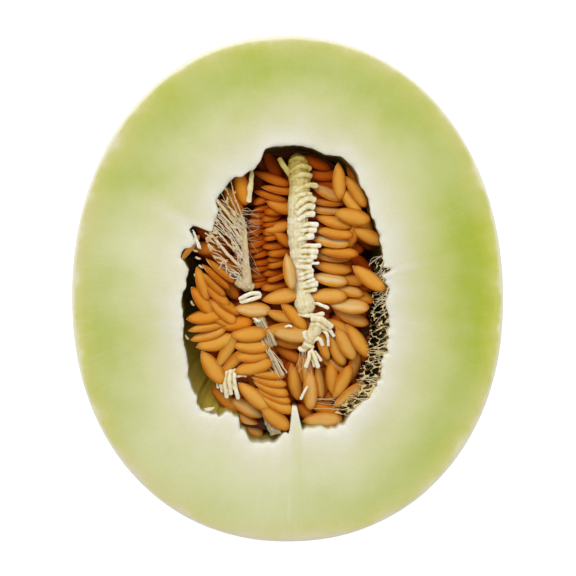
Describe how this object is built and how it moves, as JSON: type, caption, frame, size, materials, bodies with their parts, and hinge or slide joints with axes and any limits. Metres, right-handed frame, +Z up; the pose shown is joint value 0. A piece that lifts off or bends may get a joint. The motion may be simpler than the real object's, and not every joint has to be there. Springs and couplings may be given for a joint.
{
  "type": "honeydew melon half",
  "caption": "Half of a pale green honeydew melon cut lengthwise, cut face up, its ragged oval cavity filled with a heap of tan seeds and pale seed strands.",
  "frame": {"origin": "on the surface that the melon rests on, under the middle of the cut face", "axes": "+Z up, out of the cut face; +Y along the melon's length to the stem end; +X to the right when the cut face is seen from above with the stem end up"},
  "size_m": [0.1436, 0.17, 0.07],
  "materials": {
    "flesh": "moist melon flesh, pale cream by the cavity to light green under the thin cream rind, soft wet sheen",
    "seeds": "moist orange-tan seed coats, smooth, satin",
    "placenta": "moist cream-white seed strands, stalks and fibres"
  },
  "bodies": {
    "root": {"melon_flesh": "flesh", "seed_heap": "seeds", "placenta_ridge": "placenta", "placenta_lower": "placenta", "placenta_left": "placenta", "placenta_tuft": "placenta"}
  },
  "joints": []
}
